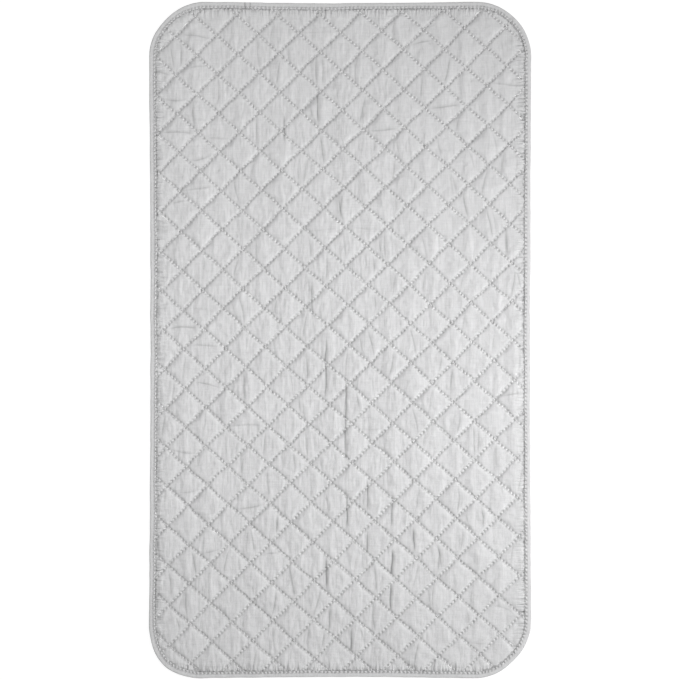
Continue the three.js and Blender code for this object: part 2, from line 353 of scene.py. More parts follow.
def row_marks(material, across, along, uneven, jitter):
    """Painted shade and relief of one set of rows, from the counts of rows across it and along it."""
    row = calc(material, "ROUND", across)
    off_row = times(material, minus(material, across, row), ROW_SPACING)
    count = scaled(material, row, ROW_START, times(material, along, PER_ROW_STEP))
    count = scaled(material, jitter, 0.5, count)
    wave = calc(material, "COSINE", times(material, count, TURN))
    # painted shade in the needle holes and in the foot beside the row
    hole = times(material, bell(material, off_row, HOLE), ramp(material, wave, 0.0, 1.0, 0.0, HOLE_SHADE))
    beside = minus(material, calc(material, "ABSOLUTE", off_row), FLANK_OUT)
    flank = times(material, bell(material, beside, FLANK), scaled(material, wave, FLANK_SHADE_CHANGE, FLANK_SHADE))
    seam_shade = times(material, total(material, hole, flank), tightness(material, uneven))
    bead = times(material, bell(material, off_row, BEAD), scaled(material, wave, -0.5, 0.5))
    bead = times(material, bead, ramp(material, uneven, 0.3, 0.7, 1.4, 0.7))
    return minus(material, 1.0, seam_shade), bead


print("stitches from row to row:", round(PER_ROW_STEP, 2))

# %% [markdown]
# ## Puckers and creases
# The tape's seam gathers the edge of the face cloth into small waves that run inwards and fade, and
# inside the diamonds the cloth keeps sharp little creases from being folded. Both could be pressed
# into the mesh, but it would have to be many times finer to hold them, so they go into the material.
# The waves are stretched noise. A few long creases are listed, and dice throw the short ones
# anew for each diamond.

# %% Puckers beside the tape
PUCKER_REACH = 22 * MM
PUCKER_LONG, PUCKER_WIDE = 30 * MM, 3.5 * MM


def edge_puckers(material, place):
    """Small waves that run inwards from the tape, where its seam gathers the face cloth."""
    across, up = parts(material, place)
    waves = []
    for off_middle, half, wide, long, seed in (
        (across, HALF_WIDTH, PUCKER_LONG, PUCKER_WIDE, 6.1),
        (up, HALF_LENGTH, PUCKER_WIDE, PUCKER_LONG, 7.1),
    ):
        gap = minus(material, half - TAPE_WIDTH, calc(material, "ABSOLUTE", off_middle))
        fade = ramp(material, gap, 0.0, PUCKER_REACH, 1.0, 0.0)
        waves.append(times(material, fade, fade, streaks(material, place, wide, long, seed)))
    return total(material, *waves)


# %% Long creases
FOLD = 1.1 * MM  # half width of a crease
FOOT_OUT, FOOT = 1.2 * MM, 1.6 * MM  # place and half width of the lower foot on its right
BEND = 5 * MM  # how far noise bends a crease
# across and up from the middle and half length, in mm, and height
LONG_CREASES = [
    (-18, -35, 48, 0.8), (7, -95, 62, 0.8), (9, -215, 26, 0.8), (34, -195, 24, 0.8),
    (34, -254, 16, 0.7), (66, -215, 24, 0.7), (65, -279, 18, 1.2), (64, -323, 19, 1.1),
    (92, -250, 17, 0.7), (-17, -292, 24, 0.9), (14, -376, 20, 0.8), (-13, -350, 16, 0.7),
    (-28, 291, 25, 0.8), (-35, 50, 30, 0.6), (-70, 265, 20, 0.7),
]


def crease(material, off):
    """The section of a crease: a narrow fold, a little wider on its right side."""
    foot = bell(material, minus(material, off, FOOT_OUT), FOOT)
    return calc(material, "MAXIMUM", bell(material, off, FOLD), times(material, foot, 0.35))


def long_creases(material, place):
    """A few upright creases that run on through several diamonds."""
    place_x, place_y = parts(material, place)
    bend = noise(material, place, 30 * MM, 30 * MM, 9.2, 1.0)
    bent = scaled(material, bend, BEND, place_x)
    creases = []
    for across, up, half, height in LONG_CREASES:
        off = minus(material, bent, across * MM + BEND / 2)
        along = calc(material, "ABSOLUTE", minus(material, place_y, up * MM))
        fade = ramp(material, along, 0.4 * half * MM, half * MM, 1.0, 0.0)
        creases.append(times(material, crease(material, off), height, fade))
    return total(material, *creases)


print(len(LONG_CREASES), "long creases")

# %% Dice for a diamond
MOST_ASIDE, MOST_LEAN, MOST_BOW = 13 * MM, 0.22, 9.0  # how far dice may move, lean and bow a crease


def dice_for(material, cells, seed):
    """White noise that stays the same all over one diamond."""
    cell = add_node(material, "ShaderNodeCombineXYZ", X=cells[0], Y=cells[1], Z=seed)
    settings = {"noise_dimensions": "3D"}
    return add_node(material, "ShaderNodeTexWhiteNoise", settings, Vector=cell.outputs[0])


def either_way(material, share, most):
    """A share from 0 to 1 becomes a number from -most to most."""
    return scaled(material, share, 2 * most, -most)


def thrown_crease(material, dice, across, along, bare, height):
    """A crease with its place, lean, bow and height thrown by dice. bare is the share with none."""
    throw = add_node(material, "ShaderNodeSeparateColor", Color=dice.outputs["Color"])
    aside = either_way(material, throw.outputs[0], MOST_ASIDE)
    lean = either_way(material, throw.outputs[1], MOST_LEAN)
    off = minus(material, across, scaled(material, lean, along, aside))
    bow = either_way(material, dice.outputs["Value"], MOST_BOW)
    off = total(material, off, times(material, along, along, bow))
    over = minus(material, throw.outputs[2], bare)
    over = calc(material, "DIVIDE", over, 1.0 - bare)
    return times(material, crease(material, off), ramp(material, over, 0.0, 1.0, 0.0, height))


# %% Short creases
def spread_out(material, s, t):
    """The distances across and up that belong to row counts s and t."""
    side = ROW_SPACING / SPREAD
    across = [times(material, s, side * math.cos(FALLING)), times(material, t, side * math.cos(RISING))]
    up = [times(material, t, side * math.sin(RISING)), times(material, s, side * math.sin(FALLING))]
    return total(material, *across), minus(material, *up)


def short_creases(material, counts):
    """In each diamond up to two upright creases, or one that lies; most lie beside the tape."""
    cells = [calc(material, "FLOOR", count) for count in counts]
    inside = [minus(material, calc(material, "FRACT", count), 0.5) for count in counts]
    x, y = spread_out(material, *inside)
    rims = [ramp(material, calc(material, "ABSOLUTE", d), 0.2, 0.49, 1.0, 0.0) for d in inside]
    from_middle = calc(material, "ABSOLUTE", spread_out(material, *cells)[0])
    upright_share = ramp(material, from_middle, 120 * MM, 220 * MM, 0.9, 0.3)
    kind = dice_for(material, cells, 21.0).outputs["Value"]
    lying = calc(material, "GREATER_THAN", kind, upright_share)
    upright = minus(material, 1.0, lying)
    creases = []
    for seed, across, along, bare, height, shown in (
        (0.0, x, y, 0.25, 0.5, upright),
        (7.0, x, y, 0.5, 0.45, upright),
        (13.0, y, x, 0.2, 0.45, lying),
    ):
        thrown = thrown_crease(material, dice_for(material, cells, seed), across, along, bare, height)
        creases.append(times(material, thrown, shown, *rims))
    return total(material, *creases)


# %% [markdown]
# ## Face cotton
# The face cloth shows all of this at once: rows of holes, gathered edges, creases, and a soft drape
# between them. Each could be a texture layer with a mask, but here every mark is only a tone and a
# relief. Most tones are painted shade, in the holes, beside the rows, in the creases, the puckers
# and the tucked edge, and the drape carries painted light and shade. The tones are multiplied and
# the reliefs added, so one shader carries them all.

# %% Drape and tucked edge
# painted light on the crests and painted shade in the troughs of the upright waves and broad bands
WAVE_LIGHT_AND_SHADE, WAVE_RELIEF = 0.025, 0.22  # reliefs are in mm
BAND_LIGHT_AND_SHADE, BAND_RELIEF = 0.02, 0.35
CRUMPLE_RELIEF = 0.24
TUCK_RAGGED, TUCK_WIDTH, TUCK_TONE = 0.9 * MM, 2.0 * MM, 0.6


def draped(material, place):
    """Upright waves that fade to the right, broad bands, and a faint crumple; the waves and bands carry
    painted light on their crests and painted shade in their troughs.
    """
    right = parts(material, place)[0]
    waves = streaks(material, place, 4 * MM, 15 * MM, 3.7, 0.5)
    waves = times(material, waves, ramp(material, right, 0.0, 180 * MM, 1.0, 0.4))
    bands = streaks(material, place, 16 * MM, 150 * MM, 1.9)
    crumple = streaks(material, place, 7 * MM, 7 * MM, 5.9, 0.5)
    tone = times(material, scaled(material, waves, WAVE_LIGHT_AND_SHADE, 1.0), scaled(material, bands, BAND_LIGHT_AND_SHADE, 1.0))
    relief = total(material, times(material, waves, WAVE_RELIEF), times(material, bands, BAND_RELIEF))
    return tone, total(material, relief, times(material, crumple, CRUMPLE_RELIEF))


def tucked_edge(material, place):
    """The shade in the ragged fold where the face cloth goes under the tape."""
    gap = add_node(material, "ShaderNodeAttribute", {"attribute_name": "tape_gap"}).outputs["Fac"]
    ragged = noise(material, place, 3 * MM, 3 * MM, 1.7, 1.0)
    gap = scaled(material, ramp(material, ragged, 0.35, 0.65, -1.0, 1.0), TUCK_RAGGED, gap)
    return ramp(material, gap, -0.2 * MM, TUCK_WIDTH, TUCK_TONE, 1.0)


# %% Make the face cotton
# painted shade along the creases, the deepest it goes, and the creases' relief in mm
CREASE_SHADE, CREASE_DEEPEST_SHADE, CREASE_RELIEF = 0.6, 0.5, -0.25
# painted shade in the puckers' hollows, and the puckers' relief
PUCKER_SHADE, PUCKER_RELIEF = 0.7, 1.5


def stitched_rows(material, place):
    """Painted shade and light, and relief, of all that is seen on the face cloth."""
    s, t = counts_in(material, "rows")
    uneven = noise(material, place, 8 * MM, 8 * MM, 4.4, 1.0)
    jitter = noise(material, place, 10 * MM, 10 * MM, 2.9, 1.0)
    rising_shade, rising_beads = row_marks(material, s, t, uneven, jitter)
    falling_shade, falling_beads = row_marks(material, t, s, uneven, jitter)
    row_shade = calc(material, "MINIMUM", rising_shade, falling_shade)
    creases = total(material, long_creases(material, place), short_creases(material, (s, t)))
    # painted shade along the creases
    crease_painted_shade = calc(material, "MAXIMUM", scaled(material, creases, -CREASE_SHADE, 1.0), CREASE_DEEPEST_SHADE)
    puckers = edge_puckers(material, place)
    # painted shade in the hollows of the puckers
    pucker_painted_shade = ramp(material, puckers, -1.0, 0.0, PUCKER_SHADE, 1.0)
    drape_light_and_shade, drape = draped(material, place)
    edge_tone = tucked_edge(material, place)
    tone = times(material, row_shade, edge_tone, crease_painted_shade, pucker_painted_shade, drape_light_and_shade)
    creased, puckered = times(material, creases, CREASE_RELIEF), times(material, puckers, PUCKER_RELIEF)
    return tone, total(material, rising_beads, falling_beads, creased, puckered, drape)


face_cotton = cloth_material("face_cotton", (0.640, 0.640, 0.645), 0.55 * MM, 0.07, stitched_rows)

# %% [markdown]
# ## Tape and backing cotton
# The tape's seam has holes and beads too, but in one row that follows the edge, and a faint line on
# both sides of the lap where the tape's ends meet. The shade in the holes, beside them, under the
# tape's inner lip and round its outer turn is painted into its colour. These could be painted on by
# hand. A UV map that counts stitches along the edge and gives millimetres from it does the same with
# no brush, and stays right if the outline changes. The backing is the same cotton, darker and with
# nothing sewn into it.

# %% Measure the edge
SEAM_IN = 6.5 * MM  # from the finished edge to the binding's stitches
SIDE, END = 2 * (HALF_LENGTH - CORNER), 2 * (HALF_WIDTH - CORNER)
PERIMETER = 2 * (SIDE + END) + TURN * CORNER
TAPE_STITCH = PERIMETER / round(PERIMETER / (5.0 * MM))
FAR_MIDDLE = END + SIDE + math.pi * CORNER + END / 2  # way along the edge to the far end's middle
JOIN_AT = FAR_MIDDLE + 116 * MM  # where the tape's ends meet
JOIN_WIDTH = 7 * MM
print("the edge is", round(PERIMETER, 3), "m long, with stitches of", round(1000 * TAPE_STITCH, 2), "mm")


# %% Make the tape cotton and the backing cotton
def stitched_tape(material, place):
    """Painted shade and relief of the tape. Widths and places are in millimetres, as in its UV map."""
    count, inset = counts_in(material, "seam")
    uneven = noise(material, place, 6 * MM, 6 * MM, 7.7, 1.0)
    wave = calc(material, "COSINE", times(material, scaled(material, uneven, 0.5, count), TURN))
    off = minus(material, inset, SEAM_IN / MM)
    # painted shade in the seam's needle holes and beside them
    hole = times(material, bell(material, off, 1.0), ramp(material, wave, -0.2, 1.0, 0.0, 0.6))
    beside = total(material, off, 1.7)
    flank = times(material, bell(material, beside, 0.6), scaled(material, wave, 0.15, 0.16))
    seam_shade = times(material, total(material, hole, flank), tightness(material, uneven))
    # painted shade under the tape's inner lip, where it presses on the face cloth
    lip_shade = times(material, ramp(material, inset, 7.2, 8.0, 0.0, 1.0), scaled(material, wave, 0.15, 0.2))
    # painted shade on the rounded turn at the tape's outside
    turned = ramp(material, inset, 0.0, 1.6, 0.84, 1.0)
    from_join = calc(material, "ABSOLUTE", minus(material, count, JOIN_AT / TAPE_STITCH))
    from_lap = minus(material, from_join, 0.5 * JOIN_WIDTH / TAPE_STITCH)
    lap = scaled(material, bell(material, from_lap, 0.2), -0.35, 1.0)
    light = [minus(material, 1.0, shade) for shade in (seam_shade, lip_shade)]
    bead = times(material, bell(material, off, 1.2), scaled(material, wave, -0.5, 0.5))
    return times(material, *light, turned, lap), times(material, bead, 1.3)


tape_cotton = cloth_material("tape_cotton", (0.62, 0.62, 0.625), 0.7 * MM, 0.06, stitched_tape)
backing_cotton = cloth_material("backing_cotton", (0.52, 0.52, 0.53), 0.6 * MM, 0.03)

# %% [markdown]
# ## Wadding
# The wadding is a white felt of loose fibres. The stitch rows squeeze it flat, and it swells between
# them. It could be sculpted, or blown up from a flat block by simulation, but the channels would then
# not lie where the pattern has them. So it is a grid whose lines follow the rows, closer together
# near them, where it dives into the channels. Extruding the whole grid makes a closed body, and its
# underside is then laid flat, with a shallow hollow over each magnet.

# %% Wadding fibre
FUZZ = 1.5 * MM
fibre = new_material("wadding_fibre")
set_finish(fibre, Roughness=0.95)
fuzz = noise(fibre, own_place(fibre), FUZZ, FUZZ, 2.0, 6.0)
paint(fibre, scaled(fibre, fuzz, 0.2, 0.72))
emboss(fibre, fuzz, 0.8, 0.5 * MM)
print(fibre.name, "has", len(fibre.node_tree.nodes), "nodes")


# %% All points of a mesh at once
def points_of(piece):
    flat = np.empty(3 * len(piece.data.vertices))
    piece.data.vertices.foreach_get("co", flat)
    return flat.reshape(-1, 3)


def set_points(piece, points):
    piece.data.vertices.foreach_set("co", points.ravel())
    piece.data.update()


def delete_points(piece, unwanted):
    bpy.ops.object.mode_set(mode="EDIT")
    bpy.ops.mesh.select_mode(type="VERT")
    bpy.ops.mesh.select_all(action="DESELECT")
    bpy.ops.object.mode_set(mode="OBJECT")
    piece.data.vertices.foreach_set("select", unwanted)
    bpy.ops.object.mode_set(mode="EDIT")
    bpy.ops.mesh.delete(type="VERT")
    bpy.ops.object.mode_set(mode="OBJECT")


# %% A grid that follows the rows
def add_grid(name, columns, rows):
    """A new grid, and the column and row number of each of its points."""
    bpy.ops.object.select_all(action="DESELECT")
    bpy.ops.mesh.primitive_grid_add(x_subdivisions=columns, y_subdivisions=rows, size=2)
    piece = bpy.context.object
    piece.name = piece.data.name = name
    points = points_of(piece)
    column = np.rint((points[:, 0] + 1) / 2 * columns).astype(int)
    row = np.rint((points[:, 1] + 1) / 2 * rows).astype(int)
    return piece, column, row


def row_grid(name, half_steps, margin):
    """A flat grid on the stitch rows, and the row counts s and t of its points. half_steps are the
    distances of its lines from a row, in mm."""
    half = np.array(half_steps) * MM / ROW_SPACING
    steps = np.concatenate([half, [0.5], 1 - half[:0:-1]])
    count = len(steps)
    piece, column, row = add_grid(name, 2 * REACH * count, 2 * REACH * count)
    s = column // count - REACH + steps[column % count]
    t = row // count - REACH + steps[row % count]
    x, y = place_of(s, t)
    set_points(piece, np.column_stack([x, y, np.zeros(len(x))]))
    outside = depth_inside(x, y) < margin
    delete_points(piece, outside)
    return piece, s[~outside], t[~outside]


# %% How far off the rows
def wall(distance, width):
    """How far the cloth has risen at a distance from where it is held."""
    return 1 - np.exp(-np.maximum(distance, 0) / width)


def offsets(s, t, x, y):
    """Distances from the nearest rising row, falling row and the tape."""
    off_rising = np.abs(s - np.rint(s)) * ROW_SPACING
    off_falling = np.abs(t - np.rint(t)) * ROW_SPACING
    return off_rising, off_falling, depth_inside(x, y) - TAPE_WIDTH


# %% How the wadding swells
CLOTH = 0.4 * MM
SEAM_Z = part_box("face_cloth")[0][2] + CLOTH  # top of the cloth where it is sewn down
LOFT = 2.0 * MM
CELLS = 2 * REACH + 2
FULLNESS = np.random.default_rng(5).uniform(0.85, 1.2, (CELLS, CELLS))  # no two diamonds are alike
CHANNEL = 0.6 * MM  # half width of a channel's flat bottom
STEEP, STEEP_AT_TAPE = 0.65 * MM, 1.0 * MM  # widths of the wall beside a channel and the tape
SOFT, SOFT_AT_TAPE = 7 * MM, 5 * MM  # and of the crown


def swelling(s, t, x, y):
    """How high the wadding stands between the rows: a steep wall and then a soft crown."""
    off_rising, off_falling, off_tape = offsets(s, t, x, y)
    steep = wall(off_rising - CHANNEL, STEEP) * wall(off_falling - CHANNEL, STEEP)
    steep = steep * wall(off_tape, STEEP_AT_TAPE)
    soft = wall(off_rising, SOFT) * wall(off_falling, SOFT) * wall(off_tape, SOFT_AT_TAPE)
    full = FULLNESS[np.floor(s).astype(int) + REACH + 1, np.floor(t).astype(int) + REACH + 1]
    return LOFT * full * (0.52 * steep + 0.56 * soft)


print("the cloth is sewn down at", round(1000 * SEAM_Z, 2), "mm")

# %% Where its underside lies
BACKING_Z, BACKING_CLIMB = 0.1 * MM, 0.75 * MM
CLIMB_TOP, CLIMB_RUN = 10 * MM, 8 * MM  # distance from the edge where the climb ends, and its length
magnet_low, magnet_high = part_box("magnet_back_right")
MAGNET_X = (magnet_low[0] + magnet_high[0]) / 2
MAGNET_Y = (magnet_low[1] + magnet_high[1]) / 2
HOLLOW, HOLLOW_RADIUS, HOLLOW_SLOPE = 1.15 * MM, 10 * MM, 4 * MM


def under_level(x, y):
    """The top of the backing cloth, which climbs towards the folded tape."""
    climb = np.clip(1 - (depth_inside(x, y) - CLIMB_TOP) / CLIMB_RUN, 0, 1)
    return BACKING_Z + BACKING_CLIMB * climb


def magnet_hollow(x, y):
    """How far the wadding gives way over a magnet."""
    from_magnet = np.hypot(np.abs(x) - MAGNET_X, np.abs(y) - MAGNET_Y)
    return HOLLOW * np.clip(1 - (from_magnet - HOLLOW_RADIUS) / HOLLOW_SLOPE, 0, 1)


print("magnets lie", round(1000 * MAGNET_X), "mm across and", round(1000 * MAGNET_Y), "mm up")


# %% Hand a piece to the frame
def select_only(piece):
    bpy.ops.object.select_all(action="DESELECT")
    piece.select_set(True)
    bpy.context.view_layer.objects.active = piece


def finish_piece(piece, material, slot, *nodes):
    """Smooth shading, a material, and what the piece rides on and stands for."""
    select_only(piece)
    bpy.ops.object.shade_smooth()
    piece.data.materials.clear()
    piece.data.materials.append(material)
    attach(piece, "root")
    if nodes:
        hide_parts(*nodes)
    print(piece.name, len(piece.data.vertices), "points,", len(piece.data.polygons), "faces")


# %% Make the wadding
WADDING_MARGIN = 2.5 * MM
OVER_BACKING, LEAST_WADDING = 0.45 * MM, 0.2 * MM
UNDER_SEAM = 0.5 * MM  # top of the squeezed wadding under the sewn level
EXTRUDED = 10 * MM  # only tells top from underside, until both get their heights
wadding, s, t = row_grid("wadding_felt", [0, 1.5, 4, 8, 12.5], WADDING_MARGIN)
points = points_of(wadding)
x, y = points[:, 0], points[:, 1]
top = SEAM_Z - UNDER_SEAM + 0.9 * swelling(s, t, x, y)
under = under_level(x, y) + OVER_BACKING + magnet_hollow(x, y)
bpy.ops.object.mode_set(mode="EDIT")
bpy.ops.mesh.select_all(action="SELECT")
bpy.ops.mesh.extrude_region_move(TRANSFORM_OT_translate={"value": (0, 0, EXTRUDED)})
bpy.ops.mesh.select_all(action="SELECT")
bpy.ops.mesh.normals_make_consistent(inside=False)
bpy.ops.object.mode_set(mode="OBJECT")
points = points_of(wadding)
is_top = points[:, 2] > EXTRUDED / 2
points[is_top, 2], points[~is_top, 2] = top, np.minimum(under, top - LEAST_WADDING)
points[:, 0], points[:, 1] = sewn(points[:, 0], points[:, 1])
set_points(wadding, points)
finish_piece(wadding, fibre, "wadding_fibre", "wadding")

# %% [markdown]
# ## Face cloth
# The face cloth is the quilted cotton that one irons on. A subdivided plane with a displacement map
# would give its swells, but not the slack that real cloth has over wadding. So a finer grid on the
# same rows is raised with the wadding, given a few soft waves, and then relaxed by the cloth
# simulation with its rows held down. It is cut a little larger than the wadding, so it puckers along
# the seams as real quilting does.

# %% Lay out the face cloth
FACE_STEPS = [0, 0.8, 1.5, 2.5, 4.5, 7.6, 11.0, 14.4]
face, s, t = row_grid("face_cloth_quilted", FACE_STEPS, 3 * MM)
points = points_of(face)
x, y = points[:, 0], points[:, 1]
off_rising, off_falling, off_tape = offsets(s, t, x, y)
off_seam = np.minimum(off_rising, off_falling)
rise = swelling(s, t, x, y)
print("face cloth has", len(points), "points; its highest diamond rises", round(1000 * rise.max(), 2), "mm")

# %% Throw soft waves
LYING_SHARE = 0.22
waves = []
for i in range(-REACH, REACH):
    for j in range(-REACH, REACH):
        middle_x, middle_y = place_of(i + 0.5, j + 0.5)
        for _ in range(rng.integers(1, 4)):
            lying = rng.random() < LYING_SHARE
            wave_x, wave_y = middle_x + rng.normal(0, 7) * MM, middle_y + rng.normal(0, 7) * MM
            half, height = rng.uniform(8, 20) * MM, rng.uniform(0.05, 0.28) * MM
            waves.append((wave_x, wave_y, half, height, rng.normal(0, 0.08), lying))
print(len(waves), "soft waves")

# %% Raise the cloth
WAVE_WIDTH, WAVE_FOOT, WAVE_CAP = 2.6 * MM, 12 * MM, 0.8 * MM
wave_rise = np.zeros(len(x))
for wave_x, wave_y, half, height, lean, lying in waves:
    along, over = (x - wave_x, y - wave_y) if lying else (y - wave_y, x - wave_x)
    near = (np.abs(along) < half) & (np.abs(over) < WAVE_FOOT)
    over = over[near] - lean * along[near]
    taper = (1 - (along[near] / half) ** 2) ** 2
    wave_rise[near] += height * taper * np.exp(-((over / WAVE_WIDTH) ** 2))
held_down = wall(off_seam, 1.5 * MM) * wall(off_tape, 2 * MM)
points[:, 2] = SEAM_Z + rise + np.minimum(wave_rise, WAVE_CAP) * held_down
set_points(face, points)
print("the waves add up to", round(1000 * float((points[:, 2] - SEAM_Z - rise).max()), 2), "mm")


# %% Count the rows in a UV map
def set_map(piece, name, across, up):
    """Turns the grid's own UV map into one that holds two numbers of each point."""
    layer = piece.data.uv_layers[0]
    layer.name = name
    corners = np.empty(len(piece.data.loops), dtype=np.int64)
    piece.data.loops.foreach_get("vertex_index", corners)
    layer.data.foreach_set("uv", np.column_stack([across[corners], up[corners]]).ravel())


set_map(face, "rows", s, t)
gap = face.data.attributes.new("tape_gap", "FLOAT", "POINT")
gap.data.foreach_set("value", off_tape)
print("rows counted from", round(float(s.min()), 1), "to", round(float(s.max()), 1))

# %% Relax the cloth
MAGNIFY = 25  # the simulation likes cloth of room size, so the pad is enlarged for it
SPARE = 0.010  # share by which the cloth is larger than its wadding
FRAMES = 22
MOST_SIDEWAYS, MOST_DOWN, MOST_UP = 0.8 * MM, 0.6 * MM, 1.0 * MM
before = points_of(face)
set_points(face, before * MAGNIFY)
sewn_down = face.vertex_groups.new(name="sewn_down")
held = np.flatnonzero((off_seam < 0.1 * MM) | (off_tape < 0))
sewn_down.add(held.tolist(), 1.0, "REPLACE")
cloth = face.modifiers.new("relax", "CLOTH")
cloth.settings.vertex_group_mass = "sewn_down"
cloth.settings.quality = 5
cloth.settings.mass = 0.3
cloth.settings.shrink_min = -SPARE
cloth.settings.bending_stiffness = 0.02
cloth.settings.use_pressure = True
cloth.settings.uniform_pressure_force = 0.02
cloth.settings.effector_weights.gravity = 0
cloth.collision_settings.use_collision = False
cloth.point_cache.frame_end = FRAMES
for number in range(1, FRAMES + 1):
    bpy.context.scene.frame_set(number)
select_only(face)
bpy.ops.object.modifier_apply(modifier="relax")
moved = points_of(face) / MAGNIFY - before
moved[:, :2] = np.clip(moved[:, :2], -MOST_SIDEWAYS, MOST_SIDEWAYS)
moved[:, 2] = np.clip(moved[:, 2], -MOST_DOWN, MOST_UP)
set_points(face, before + moved)
print("cloth moved up to", np.round(1000 * np.abs(moved).max(axis=0), 2), "mm")

# %% Draw it in
points = points_of(face)
points[:, 0], points[:, 1] = sewn(points[:, 0], points[:, 1])
set_points(face, points)
finish_piece(face, face_cotton, "face_cotton", "face_cloth")
lowest, highest = points[:, 2].min(), points[:, 2].max()
print("face cloth from", round(1000 * lowest, 2), "to", round(1000 * highest, 2), "mm")

# %% [markdown]
# ## Backing cloth
# The backing is one plain cloth that closes the pad from below and lies on the table. A plane would
# do if it were never seen, but the pad can be turned over. Only the binding holds it, so it needs no
# simulation: a grid with a faint ripple lies flat, and climbs a little at the edge to go inside the
# folded tape.

# %% Make the backing cloth
BACKING_MARGIN = 2.5 * MM
RIPPLE = 0.05 * MM
backing = add_grid("backing_cloth_plain", 120, 212)[0]
points = points_of(backing)
x, y = points[:, 0] * HALF_WIDTH, points[:, 1] * HALF_LENGTH
outside = depth_inside(x, y) < BACKING_MARGIN
ripple = RIPPLE * (1 + np.sin(61 * x + 23 * y) * np.sin(37 * y - 29 * x))
z = under_level(x, y) + ripple
x, y = sewn(x, y)
set_points(backing, np.column_stack([x, y, z]))
delete_points(backing, outside)
bpy.ops.object.mode_set(mode="EDIT")
bpy.ops.mesh.select_all(action="SELECT")
bpy.ops.mesh.flip_normals()
bpy.ops.object.mode_set(mode="OBJECT")
finish_piece(backing, backing_cotton, "backing_cotton", "backing_cloth")

# %% [markdown]
# ## Edge tape
# The tape is a strip of cotton folded over the raw edge of all the layers and sewn through close to
# its inner edge. A curve with a bevel could follow the outline, but it gives no hold on the puckers
# at each stitch. So the section, a folded loop that is round at the outside and pressed in along the
# seam, is swept round the outline as one long grid, and its points sway and gather as they go.


# %% Follow the outline
def edge_place(u):
    """The point u metres along the finished edge, from the left end of the front side, and the
    direction that points outwards there."""
    arc = CORNER * math.pi / 2
    ends = np.cumsum([END, arc, SIDE, arc, END, arc, SIDE, arc])
    u = np.mod(u, ends[-1])
    leg = np.searchsorted(ends, u, side="right")
    done = u - np.concatenate([[0], ends])[leg]
    side, on_arc = leg // 2, leg % 2 == 1
    angle = -math.pi / 2 + side * math.pi / 2 + np.where(on_arc, done / CORNER, 0)
    out_x, out_y = np.cos(angle), np.sin(angle)
    corners_x, corners_y = np.array([1, 1, -1, -1]) * END / 2, np.array([-1, 1, 1, -1]) * SIDE / 2
    start_x, start_y = np.roll(corners_x, 1)[side], np.roll(corners_y, 1)[side]
    walk = np.where(on_arc, 0, done)
    x = np.where(on_arc, corners_x[side], start_x - walk * out_y) + CORNER * out_x
    y = np.where(on_arc, corners_y[side], start_y + walk * out_x) + CORNER * out_y
    return x, y, out_x, out_y


print("the lap of the tape is at", [round(1000 * float(c)) for c in edge_place(JOIN_AT)[:2]], "mm")

# %% Draw the tape's section
# distance from the finished edge and height in mm, round the outside and back along the inside
outer = [
    (8.0, 2.7), (8.15, 3.05), (7.8, 3.4), (7.2, 3.4), (6.5, 3.15), (5.8, 3.4), (4.6, 3.7),
    (2.6, 3.7), (1.1, 3.65), (0.4, 3.5), (0.05, 3.0), (0.0, 1.8), (0.3, 0.75), (1.0, 0.2),
    (3.0, 0.05), (4.6, 0.05), (5.8, 0.2), (6.5, 0.45), (7.2, 0.2), (7.8, 0.05), (8.15, 0.25),
]
inner = [(8.0, 0.55), (6.8, 0.7), (1.7, 0.85), (1.0, 1.8), (1.7, 2.75), (6.8, 2.6)]
section = np.array(outer + inner) * MM
stations = 4 * round(PERIMETER / TAPE_STITCH)
tape, column, row = add_grid("edge_tape", stations, len(section))
u = column / stations * PERIMETER
inset, z = section[row % len(section)].T
shown = row % len(section) < len(outer)
upper = z > 1.8 * MM
print("the tape's section has", len(section), "points, swept over", stations, "stations")


# %% Let it sway and gather
def ripples(u, shortest, longest, count, seed):
    """A wavering line along the tape, from about -1 to 1, that closes on itself."""
    dice = np.random.default_rng(seed)
    turns = np.rint(PERIMETER / dice.uniform(shortest, longest, count))
    phases = dice.uniform(0, TURN, count)
    return sum(np.sin(TURN * n * u / PERIMETER + p) for n, p in zip(turns, phases)) / math.sqrt(count)


def sway_of(u, inset):
    """How far the tape's inner edge strays from its line."""
    return 0.45 * MM * ripples(u, 60 * MM, 300 * MM, 8, 3) * np.clip(inset / TAPE_WIDTH, 0, 1)


x, y, out_x, out_y = edge_place(u)
rounding = 1 - (out_x**2 - out_y**2) ** 2  # 1 at the middle of a corner, 0 along the sides
slant = u + np.where(upper, 1, -1) * 0.6 * inset
gather = (0.10 + 0.12 * rounding) * MM * ripples(slant, 6 * MM, 22 * MM, 10, 4)
join = 0.35 * MM * (np.abs(u - JOIN_AT) < 0.5 * JOIN_WIDTH)
swell = np.sin(math.pi * np.clip(inset / TAPE_WIDTH, 0, 1))
pull = np.exp(-(((inset - SEAM_IN) / (1.4 * MM)) ** 2)) * np.cos(TURN * u / TAPE_STITCH)
lift = np.where(shown, (gather + join) * swell - 0.12 * MM * pull, 0)
print("the tape lifts by up to", round(1000 * float(lift.max()), 2), "mm")

# %% Sweep the tape
LOWEST = 0.02 * MM
z = np.where(upper, z + lift, np.maximum(z - lift, LOWEST))
inward = inset + sway_of(u, inset)
x, y = sewn(x - inward * out_x, y - inward * out_y)
set_points(tape, np.column_stack([x, y, z]))
set_map(tape, "seam", u / TAPE_STITCH, inset / MM)
bpy.ops.object.mode_set(mode="EDIT")
bpy.ops.mesh.select_all(action="SELECT")
bpy.ops.mesh.remove_doubles(threshold=0.00001)
bpy.ops.mesh.normals_make_consistent(inside=False)
bpy.ops.object.mode_set(mode="OBJECT")
finish_piece(tape, tape_cotton, "binding_tape", "edge_binding")

# %% [markdown]
# ## Stitches
# A lockstitch shows on each side as short dashes of thread with a needle hole between them. A bump
# could draw them, but thread catches the light as a round thing. So one stitch is modelled from a
# small sphere, arched so that both its ends dive into the cloth, and it is copied along every row of
# the quilting and round the binding. The thread is twisted from strands, which show as a fine rib.

